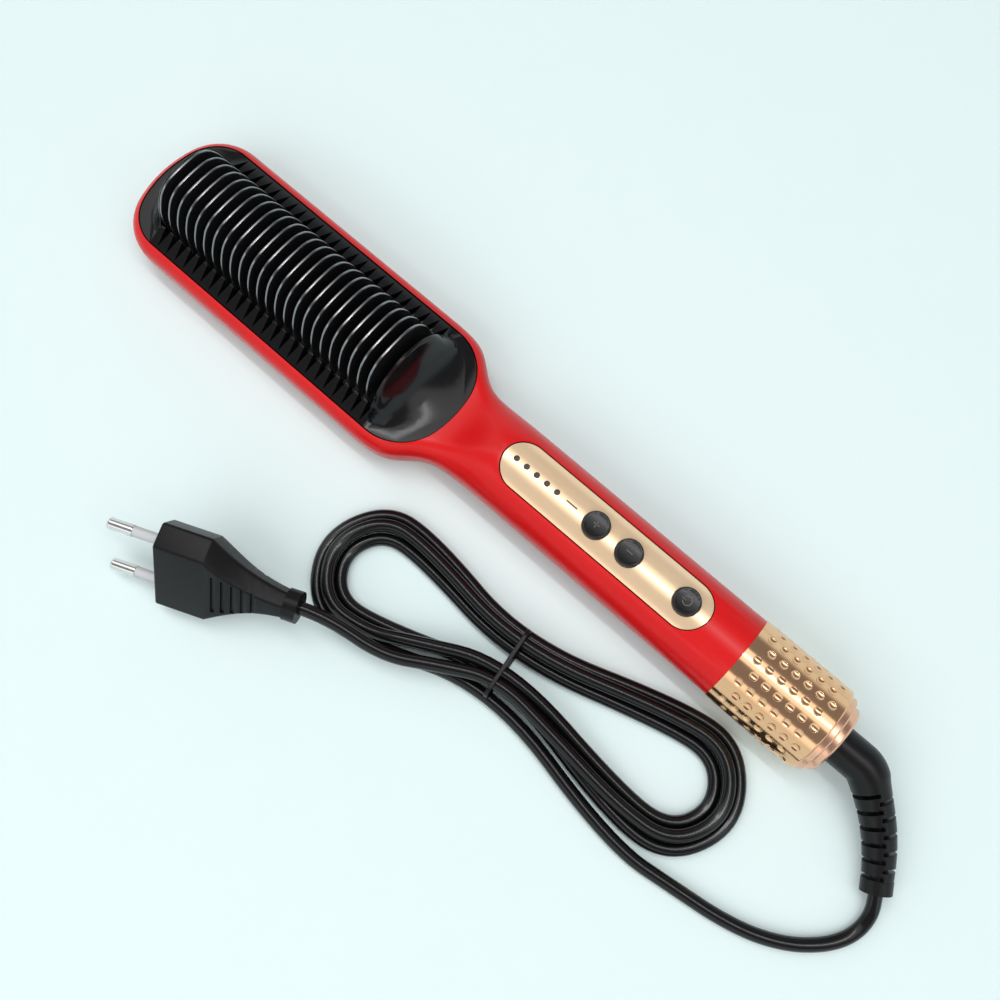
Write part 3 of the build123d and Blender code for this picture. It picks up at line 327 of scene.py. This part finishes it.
red_lacquer = skinned(
    "red_lacquer", (0.76, 0.01, 0.012), (0.7, 0.008, 0.01), 1400, 0.1, 0.3, 0.06,
    coat=0.1, coat_roughness=0.22, shine=0.25,
)
front_red = softened("front_shell", "front_shell_red", red_lacquer, 0.25)
back_red = softened("back_shell", "back_shell_red", red_lacquer, 0.14)
trued(front_red, HANDLE_RADIUS, NECK_END)
trued(back_red, HANDLE_RADIUS, NECK_END)

# Comb frame: glossy black heat-proof plastic, one moulding with the two scooped ends and the rows of
# wedge teeth that keep the hot fins off the scalp. It is let into the front shell. The shade in the
# narrow gap round it is painted, as a thin near-black band laid along the frame's edge.
HEAD_HALF = 0.0263
SEAM_INSETS = (0.00331, 0.00372)
SEAM_LEVEL = 0.01933
PRINT_THICK = 0.00004
gloss_black = skinned(
    "gloss_black", (0.004, 0.004, 0.0045), (0.006, 0.006, 0.007), 700, 0.03, 0.17, 0.05, shine=0.35
)
softened("comb_frame", "comb_frame_black", gloss_black, 0.25)
# Painted shade: thin near-black bands stand for the shadow in the narrow gaps round frame and panel.
seam_shade = skinned(
    "seam_shade", (0.002, 0.001, 0.001), (0.003, 0.002, 0.002), 900, 0.05, 0.9, 0.05, shine=0.0
)


def points_of(made):
    """The vertices among the pieces that an operator hands back."""
    return [g for g in made if isinstance(g, bmesh.types.BMVert)]


def head_line(form, inset):
    """The closed line round the comb's seat, each end of it made of two arcs a side."""
    half = HEAD_HALF - inset
    # Where the end's bend starts from the tip, its corner and nose radii, and the way it points.
    neck_end = (0.1215, 0.022, 0.044, 1)
    tip_end = (0.02009, 0.019, 0.044, -1)
    for start, corner, nose, way in (neck_end, tip_end):
        corner, nose = corner - inset, nose - inset
        turn = math.acos((half - corner) / (nose - corner))
        last = form.verts.new((start - TIP_TO_MIDDLE / 1000, half, 0))
        for radius, passed, angle, steps in (
            (corner, 0, turn, 14), (nose, turn, math.pi / 2 - turn, 10)
        ):
            centre = last.co - radius * Vector((way * math.sin(passed), math.cos(passed), 0))
            made = bmesh.ops.spin(
                form, geom=[last], cent=centre, axis=(0, 0, -way), angle=angle, steps=steps
            )
            last = points_of(made["geom_last"])[0]


def made_piece(name, form, body, *finishes):
    """A new piece on its body, its mesh taken from the form and its finishes in slot order."""
    mesh = bpy.data.meshes.new(name)
    form.to_mesh(mesh)
    form.free()
    for finish in finishes:
        mesh.materials.append(finish)
    piece = bpy.data.objects.new(name, mesh)
    bpy.context.scene.collection.objects.link(piece)
    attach(piece, body)
    return piece


# The band of painted shade along the comb frame's edge, where the gap's shadow falls.
form = bmesh.new()
for inset in SEAM_INSETS:
    head_line(form, inset)
bmesh.ops.remove_doubles(form, verts=form.verts, dist=1e-7)
bmesh.ops.mirror(form, geom=form.verts[:] + form.edges[:], axis="Y", merge_dist=1e-6)
for inset in SEAM_INSETS:
    for side in (1, -1):
        flank = side * (HEAD_HALF - inset)
        form.edges.new([v for v in form.verts if abs(v.co.y - flank) < 1e-7])
bmesh.ops.bridge_loops(form, edges=form.edges[:])
bmesh.ops.solidify(form, geom=form.faces[:], thickness=PRINT_THICK)
bmesh.ops.recalc_face_normals(form, faces=form.faces)
bmesh.ops.translate(form, vec=(0, 0, SEAM_LEVEL), verts=form.verts)
made_piece("comb_gap_shade", form, "brush", seam_shade)

# Heated fins: thin aluminium arches with a dark ceramic coat, their edges rounded over and polished
# bright by the hair. Each stands in a slot of the base plate.
FIN_COUNT, FIN_PITCH = 24, 0.00415
FIN_THICK, FIN_EDGE = 0.0009, 0.00028
FIN_HALF, FIN_FOOT, FIN_TOP = 0.0154, 0.0158, 0.0405
EASED_FROM, BRIGHT_FROM = 0.017, 0.02
FIN_START = (20.4 - 0.45 - TIP_TO_MIDDLE) / 1000
# Radius, angles from and to, and steps of the arcs from the fin's top down one side.
CROWN, SHOULDER, FLANK = (0.03636, 0, 8, 3), (0.0092, 8, 58, 12), (0.025, 58, 90, 6)
ceramic_black = skinned(
    "ceramic_black", (0.008, 0.008, 0.009), (0.014, 0.014, 0.015), 1500, 0.06, 0.2, 0.08
)
polished_edge = skinned(
    "polished_edge", (0.24, 0.24, 0.25), (0.3, 0.3, 0.31), 1200, 0.05, 0.22, 0.08, metallic=1.0
)
form = bmesh.new()
form.verts.new((FIN_START, 0, FIN_TOP))
for radius, start, end, steps in (CROWN, SHOULDER, FLANK):
    last = max(form.verts, key=lambda v: v.co.y)
    inward = Vector((0, -math.sin(math.radians(start)), -math.cos(math.radians(start))))
    bmesh.ops.spin(
        form, geom=[last], cent=last.co + inward * radius, axis=(-1, 0, 0),
        angle=math.radians(end - start), steps=steps,
    )
bmesh.ops.remove_doubles(form, verts=form.verts, dist=1e-7)
last = max(form.verts, key=lambda v: v.co.y - v.co.z)
corner = form.verts.new((FIN_START, FIN_HALF, FIN_FOOT))
form.edges.new((last, corner))
bmesh.ops.mirror(form, geom=form.verts[:] + form.edges[:], axis="Y", merge_dist=1e-6)
form.edges.new([v for v in form.verts if v.co.z < FIN_FOOT + 1e-6])
bmesh.ops.edgeloop_fill(form, edges=form.edges[:])
grown = bmesh.ops.extrude_face_region(form, geom=form.faces[:])
bmesh.ops.translate(form, verts=points_of(grown["geom"]), vec=(FIN_THICK, 0, 0))
bmesh.ops.recalc_face_normals(form, faces=form.faces)
arch_edges = [
    e for e in form.edges
    if abs(e.verts[0].co.x - e.verts[1].co.x) < 1e-7 and max(v.co.z for v in e.verts) > EASED_FROM
]
bmesh.ops.bevel(
    form, geom=arch_edges, affect="EDGES", offset=FIN_EDGE, segments=3, profile=0.5, material=-1
)
form.normal_update()
for face in form.faces:
    outer_edge = abs(face.normal.x) < 0.3 and face.normal.z > -0.5
    if outer_edge and face.calc_center_median().z > BRIGHT_FROM:
        face.material_index = 1
one_fin = form.verts[:] + form.edges[:] + form.faces[:]
for number in range(1, FIN_COUNT):
    twin = bmesh.ops.duplicate(form, geom=one_fin)
    bmesh.ops.translate(form, verts=points_of(twin["geom"]), vec=(FIN_PITCH * number, 0, 0))
comb_fins = made_piece("comb_fins", form, "brush", ceramic_black, polished_edge)
comb_fins.data.shade_smooth()
comb_fins.data.set_sharp_from_angle(angle=math.radians(40))
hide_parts("heating_fins")

# Base plate: cast aluminium, dark from its heat-proof coat, seen only as the floor between the fins.
# It is screwed up under the comb frame.
base_coat = skinned("base_coat", (0.01, 0.01, 0.011), (0.018, 0.018, 0.019), 900, 0.2, 0.45, 0.1)
softened("heating_base", "heating_base_cast", base_coat, 0.1)

# Control panel: a plated strip, curved with the handle and polished to a rose-gold mirror, let into a
# seat of the front shell. The shade in the narrow gap round it is painted, as a thin near-black ring
# over the panel's edge. Three bores take the keys and five small holes the lamps. A short dark bar is
# printed between the two.
PANEL_RADIUS = 0.01455
GAP_RADIUS = 0.01458
GAP_REACHES = (0.00798, 0.00836)
GAP_TURN, GAP_RUN = 0.02255, 0.0655
GAP_SIDES = 64
MARK_SIZE, MARK_CORNER = (0.0044, 0.00045, 0.00006), 0.0002
MARK_STATION, MARK_LEVEL = 190.2, 0.02977
panel_gold = skinned(
    "panel_gold", (1.0, 0.72, 0.46), (1.0, 0.75, 0.5), 300, 0.03, 0.22, 0.06, metallic=0.42
)
panel = softened("control_panel", "control_panel_plated", panel_gold, 0.15)
trued(panel, PANEL_RADIUS)
# The ring of painted shade round the panel's edge, where the gap's shadow falls, just above its curve.
form = bmesh.new()
for reach in GAP_REACHES:
    ring = bmesh.ops.create_circle(form, radius=reach, segments=GAP_SIDES, cap_ends=False)["verts"]
    half_side = Matrix.Rotation(math.radians(180 / GAP_SIDES), 3, "Z")
    bmesh.ops.rotate(form, verts=ring, cent=(0, 0, 0), matrix=half_side)
    bmesh.ops.translate(form, verts=ring, vec=(GAP_TURN, 0, 0))
    far_half = [v for v in ring if v.co.x > GAP_TURN]
    bmesh.ops.translate(form, verts=far_half, vec=(GAP_RUN, 0, 0))
bmesh.ops.bridge_loops(form, edges=form.edges[:])
bmesh.ops.solidify(form, geom=form.faces[:], thickness=PRINT_THICK)
bmesh.ops.recalc_face_normals(form, faces=form.faces)
for corner in form.verts:
    corner.co.z += AXIS_HEIGHT + math.sqrt(GAP_RADIUS**2 - corner.co.y**2)
made_piece("panel_gap_shade", form, "brush", seam_shade)
mark_paint = skinned(
    "mark_paint", (0.02, 0.012, 0.01), (0.03, 0.02, 0.015), 3000, 0.1, 0.4, 0.1
)
form = bmesh.new()
bmesh.ops.create_cube(form, size=1.0)
bmesh.ops.scale(form, vec=MARK_SIZE, verts=form.verts)
bmesh.ops.translate(form, vec=(along(MARK_STATION), 0, MARK_LEVEL), verts=form.verts)
upright = [e for e in form.edges if abs(e.verts[0].co.z - e.verts[1].co.z) > 1e-6]
bmesh.ops.bevel(
    form, geom=upright, affect="EDGES", offset=MARK_CORNER, segments=3, profile=0.5, material=-1
)
made_piece("panel_mark", form, "brush", mark_paint)

# Keys: dark grey moulded discs with a soft rim, held in the panel's bores by a flange under it. Their
# generic signs, plus, minus and power, are printed on top in a dim grey.
KEY_TOP = 0.03080
BAR_LONG, BAR_WIDE, BAR_THICK = 0.0024, 0.00034, 0.00003
RING_RADIUS, RING_GROWTH, RING_GAP = 0.0013, 1.24, 0.0005
STEM_PLACE, STEM_LONG, STEM_WIDE = 0.0012, 0.0013, 0.0003
key_plastic = skinned(
    "key_plastic", (0.007, 0.006, 0.007), (0.012, 0.01, 0.011), 2500, 0.1, 0.22, 0.08, shine=0.35
)
sign_paint = skinned(
    "sign_paint", (0.12, 0.11, 0.1), (0.15, 0.14, 0.13), 3000, 0.1, 0.5, 0.1
)


def printed_bar(form, x, length, width):
    """A thin printed bar on a key's top, its length along X."""
    made = bmesh.ops.create_cube(form, size=1.0)
    bmesh.ops.scale(form, vec=(length, width, BAR_THICK), verts=made["verts"])
    bmesh.ops.translate(form, vec=(x, 0, KEY_TOP), verts=made["verts"])


for word, station in (("plus", 200.1), ("minus", 213.3), ("power", 236.0)):
    softened(f"button_{word}", f"button_{word}_key", key_plastic, 0.1)
    middle = along(station)
    form = bmesh.new()
    if word == "power":
        bmesh.ops.create_circle(form, radius=RING_RADIUS, segments=28, cap_ends=False)
        wide = bmesh.ops.extrude_edge_only(form, edges=form.edges[:])
        growth = (RING_GROWTH, RING_GROWTH, 1)
        bmesh.ops.scale(form, vec=growth, verts=points_of(wide["geom"]))
        centres = [(face, face.calc_center_median()) for face in form.faces]
        gap = [face for face, spot in centres if spot.x < 0 and abs(spot.y) < RING_GAP]
        bmesh.ops.delete(form, geom=gap, context="FACES")
        bmesh.ops.solidify(form, geom=form.faces[:], thickness=BAR_THICK)
        bmesh.ops.recalc_face_normals(form, faces=form.faces)
        bmesh.ops.translate(form, vec=(middle, 0, KEY_TOP), verts=form.verts)
        printed_bar(form, middle - STEM_PLACE, STEM_LONG, STEM_WIDE)
    else:
        printed_bar(form, middle, BAR_LONG, BAR_WIDE)
        if word == "plus":
            printed_bar(form, middle, BAR_WIDE, BAR_LONG)
    made_piece(f"sign_{word}", form, f"key_{word}", sign_paint)

# Light guide: smoked acrylic, its five posts flush with the panel, frosted so that a lamp fills them.
# They look dark while the lamps are off, and a thin dark ring lies on the panel round each.
LAMP_COUNT, FIRST_LAMP, LAMP_PITCH = 5, 167.4, 4.18
RIM_RADIUS, RIM_GROWTH, RIM_LEVEL = 0.00062, 1.6, 0.02976
guide_clear, nodes, links, shader = new_material("guide_clear", (0.035, 0.028, 0.025), 0.3)
shader.inputs["IOR"].default_value = 1.49
frost = nodes.new("ShaderNodeTexNoise")
frost.inputs["Scale"].default_value = 3000
frost_bump = nodes.new("ShaderNodeBump")
frost_bump.inputs["Strength"].default_value = 0.1
frost_bump.inputs["Distance"].default_value = 0.0001
place = nodes.new("ShaderNodeTexCoord")
links.new(place.outputs["Object"], frost.inputs["Vector"])
links.new(frost.outputs["Fac"], frost_bump.inputs["Height"])
links.new(frost_bump.outputs["Normal"], shader.inputs["Normal"])
softened("light_guide", "light_guide_posts", guide_clear, 0.08)
form = bmesh.new()
for number in range(LAMP_COUNT):
    ring = bmesh.ops.create_circle(form, radius=RIM_RADIUS, segments=24, cap_ends=False)["verts"]
    rim = [e for e in form.edges if all(v in ring for v in e.verts)]
    outer = points_of(bmesh.ops.extrude_edge_only(form, edges=rim)["geom"])
    bmesh.ops.scale(form, vec=(RIM_GROWTH, RIM_GROWTH, 1), verts=outer)
    window = (along(FIRST_LAMP + LAMP_PITCH * number), 0, RIM_LEVEL)
    bmesh.ops.translate(form, vec=window, verts=list(ring) + outer)
bmesh.ops.solidify(form, geom=form.faces[:], thickness=PRINT_THICK)
bmesh.ops.recalc_face_normals(form, faces=form.faces)
made_piece("lamp_rims", form, "brush", mark_paint)

# End cap: a plated sleeve over the handle's end, pressed all over with shallow round dimples that
# give the hand a grip. Polished like the panel.
CAP_RADIUS = 0.0152
cap_copper = skinned(
    "cap_copper", (0.82, 0.48, 0.27), (0.84, 0.52, 0.31), 300, 0.03, 0.13, 0.05, metallic=1.0
)
cap = softened("end_cap", "end_cap_dimpled", cap_copper, 0.0, angle=24, flat=0.05)
trued(cap, CAP_RADIUS)

# Cap ring: a turned and satin-brushed ring of the same rose gold, in two steps round the cord guard.
# It closes the end of the cap.
rose_satin = skinned(
    "rose_satin", (0.8, 0.44, 0.29), (0.85, 0.5, 0.35), 2200, 0.1, 0.26, 0.12, metallic=1.0
)
softened("cap_ring", "cap_ring_turned", rose_satin, 0.1)

# Cord guard: soft black PVC moulded over the cord, an elbow with a slotted tail and a round collar.
# It turns with the swivel in the cap, and its slots let the tail bend with the cord.
soft_black = skinned(
    "soft_black", (0.005, 0.005, 0.0055), (0.008, 0.008, 0.009), 1800, 0.2, 0.34, 0.12, shine=0.25
)
guard = softened("cord_guard", "cord_guard_moulded", soft_black, 0.35)

# Tie: a flat strip of the same soft black PVC, closed round the hank's waist to hold its strands
# together.
tie = softened("cord_tie", "cord_tie_strip", soft_black, 0.3)

# Plug: a flat two-pole plug moulded on the cord in black PVC, with grip ribs on its flat faces and a
# collar at the cord. Its pins are nickel-plated brass with grey insulating sleeves.
plug_black = skinned(
    "plug_black", (0.005, 0.005, 0.0055), (0.008, 0.008, 0.009), 2600, 0.3, 0.34, 0.1, shine=0.2
)
plug = softened("plug_body", "plug_moulded", plug_black, 0.3)
nickel = skinned(
    "nickel", (0.72, 0.71, 0.7), (0.78, 0.77, 0.75), 500, 0.05, 0.16, 0.08, metallic=1.0
)
pins = softened("plug_pins", "plug_pins_nickel", nickel, 0.1)
sleeve_grey = skinned(
    "sleeve_grey", (0.62, 0.64, 0.66), (0.68, 0.7, 0.71), 1500, 0.1, 0.4, 0.1
)
sleeves = softened("pin_sleeves", "pin_sleeves_moulded", sleeve_grey, 0.1)

# Pieces inside the shells: they are never seen in the closed brush, and each still has the finish of
# the real one for anyone who opens it up.
for name, colour, worn, grain, relief, roughness, change, metallic, fitted in (
    ("screw_steel", (0.5, 0.5, 0.5), (0.4, 0.4, 0.41), 1500, 0.2, 0.35, 0.2, 1.0,
     ("closing_screws", "clamp_screws", "deck_screws", "board_screws")),
    ("clamp_steel", (0.55, 0.55, 0.56), (0.45, 0.45, 0.46), 800, 0.15, 0.3, 0.2, 1.0,
     ("heater_clamp", "thermal_fuse", "tact_switches")),
    ("film_amber", (0.5, 0.24, 0.04), (0.4, 0.18, 0.03), 400, 0.1, 0.25, 0.1, 0.0,
     ("insulating_film",)),
    ("ptc_ceramic", (0.7, 0.68, 0.62), (0.6, 0.56, 0.5), 1200, 0.3, 0.7, 0.1, 0.0,
     ("ptc_heaters", "thermistor")),
    ("pad_felt", (0.62, 0.6, 0.5), (0.5, 0.47, 0.4), 2500, 0.8, 0.9, 0.1, 0.0,
     ("insulation_pad",)),
    ("inner_plastic", (0.02, 0.02, 0.021), (0.03, 0.03, 0.03), 2000, 0.2, 0.5, 0.1, 0.0,
     ("plunger_plus", "plunger_minus", "plunger_power", "controller_chip", "triac",
      "swivel_socket", "swivel_spindle")),
    ("lamp_resin", (0.8, 0.78, 0.6), (0.85, 0.82, 0.7), 900, 0.05, 0.2, 0.1, 0.0,
     ("lamps",)),
    ("board_laminate", (0.01, 0.12, 0.045), (0.015, 0.16, 0.06), 1800, 0.2, 0.35, 0.15, 0.0,
     ("control_board",)),
    ("capacitor_yellow", (0.6, 0.4, 0.04), (0.55, 0.36, 0.04), 700, 0.1, 0.35, 0.1, 0.0,
     ("capacitor",)),
    ("lead_silicone", (0.7, 0.69, 0.66), (0.6, 0.58, 0.55), 900, 0.15, 0.45, 0.1, 0.0,
     ("heater_leads", "mains_leads")),
    ("contact_brass", (0.75, 0.5, 0.18), (0.65, 0.42, 0.15), 900, 0.1, 0.25, 0.15, 1.0,
     ("slip_rings", "contact_blades")),
):
    inner_finish = skinned(name, colour, worn, grain, relief, roughness, change, metallic=metallic)
    for node in fitted:
        mesh = frame["nodes"][node].data
        mesh.materials.clear()
        mesh.materials.append(inner_finish)

# Floor and light: a pale table in a plain photo tent, pale low down and greyer above, with two bright
# strips in its roof. A long narrow lamp hangs overhead and a broad soft one on the left, both aimed at
# the brush. The table throws little light back.
TENT_LOW, TENT_HIGH = (0.84, 0.98, 0.98, 1), (0.26, 0.26, 0.27, 1)
TENT_SHADE, TABLE_SHADE = (0.14, 0.15, 0.15, 1), (0.3, 0.33, 0.33, 1)
STRIP_GLOW = (1.5, 1.5, 1.48, 1)
LAMP_STATION = 0.03
table_paint = skinned(
    "table_paint", (0.83, 0.97, 0.97), (0.84, 0.98, 0.98), 200, 0.02, 0.8, 0.05, shine=0.0
)
floor_mesh = bpy.data.meshes.new("table_top")
form = bmesh.new()
bmesh.ops.create_circle(form, cap_ends=True, radius=3.0, segments=128)
form.to_mesh(floor_mesh)
form.free()
nodes, links = table_paint.node_tree.nodes, table_paint.node_tree.links
rays = nodes.new("ShaderNodeLightPath")
seen = nodes.new("ShaderNodeMath")
seen.operation = "ADD"
links.new(rays.outputs["Is Camera Ray"], seen.inputs[0])
links.new(rays.outputs["Is Glossy Ray"], seen.inputs[1])
clear = nodes.new("ShaderNodeMath")
clear.operation = "ADD"
clear.use_clamp = True
links.new(seen.outputs[0], clear.inputs[0])
links.new(rays.outputs["Is Transmission Ray"], clear.inputs[1])
tone = nodes.new("ShaderNodeMix")
tone.data_type = "RGBA"
tone.inputs[6].default_value = TABLE_SHADE
links.new(clear.outputs[0], tone.inputs[0])
links.new(nodes["Group"].outputs["Colour"], tone.inputs[7])
links.new(tone.outputs[2], nodes["Principled BSDF"].inputs["Base Color"])
floor_mesh.materials.append(table_paint)
table_top = bpy.data.objects.new("table_top", floor_mesh)
bpy.context.scene.collection.objects.link(table_top)

world = bpy.data.worlds.new("studio")
bpy.context.scene.world = world
world.use_nodes = True
nodes, links = world.node_tree.nodes, world.node_tree.links
tent = nodes["Background"]
way = nodes.new("ShaderNodeTexCoord")
part = nodes.new("ShaderNodeSeparateXYZ")
links.new(way.outputs["Generated"], part.inputs[0])
turn = nodes.new("ShaderNodeMath")
turn.operation = "ARCTAN2"
links.new(part.outputs["Y"], turn.inputs[0])
links.new(part.outputs["Z"], turn.inputs[1])
wall = nodes.new("ShaderNodeMapRange")
wall.inputs["From Min"].default_value = 0.28
wall.inputs["From Max"].default_value = 0.55
wall.interpolation_type = "SMOOTHSTEP"
links.new(part.outputs["Z"], wall.inputs["Value"])
rays = nodes.new("ShaderNodeLightPath")
dim = nodes.new("ShaderNodeMix")
dim.data_type = "RGBA"
dim.inputs[6].default_value = TENT_LOW
dim.inputs[7].default_value = TENT_SHADE
links.new(rays.outputs["Is Diffuse Ray"], dim.inputs[0])
tent_colour = nodes.new("ShaderNodeMix")
tent_colour.data_type = "RGBA"
tent_colour.inputs[7].default_value = TENT_HIGH
links.new(wall.outputs["Result"], tent_colour.inputs[0])
links.new(dim.outputs[2], tent_colour.inputs[6])
glow = tent_colour.outputs[2]
for middle, half, soft in ((6.0, 13.0, 5.0), (-58.0, 8.0, 5.0)):
    away = nodes.new("ShaderNodeMath")
    away.operation = "SUBTRACT"
    links.new(turn.outputs[0], away.inputs[0])
    away.inputs[1].default_value = math.radians(middle)
    spread = nodes.new("ShaderNodeMath")
    spread.operation = "ABSOLUTE"
    links.new(away.outputs[0], spread.inputs[0])
    strip = nodes.new("ShaderNodeMapRange")
    strip.interpolation_type = "SMOOTHSTEP"
    strip.inputs["From Min"].default_value = math.radians(half + soft)
    strip.inputs["From Max"].default_value = math.radians(half)
    links.new(spread.outputs[0], strip.inputs["Value"])
    high = nodes.new("ShaderNodeMath")
    high.operation = "MULTIPLY"
    links.new(strip.outputs["Result"], high.inputs[0])
    links.new(wall.outputs["Result"], high.inputs[1])
    lit = nodes.new("ShaderNodeMix")
    lit.data_type = "RGBA"
    lit.inputs[7].default_value = STRIP_GLOW
    links.new(high.outputs[0], lit.inputs[0])
    links.new(glow, lit.inputs[6])
    glow = lit.outputs[2]
links.new(glow, tent.inputs["Color"])

for name, side, lift, width, length, power in (
    ("top_lamp", 0.08, 1.0, 0.045, 1.2, 2.1), ("left_lamp", -0.7, 0.9, 0.5, 1.2, 3.4),
):
    lamp_data = bpy.data.lights.new(name, "AREA")
    lamp_data.shape = "RECTANGLE"
    lamp_data.size = length
    lamp_data.size_y = width
    lamp_data.energy = power
    lamp = bpy.data.objects.new(name, lamp_data)
    lamp.location = (LAMP_STATION, side, lift)
    lamp.rotation_euler = (math.atan2(-side, lift), 0, 0)
    bpy.context.scene.collection.objects.link(lamp)
bpy.data.objects["left_lamp"].visible_glossy = False
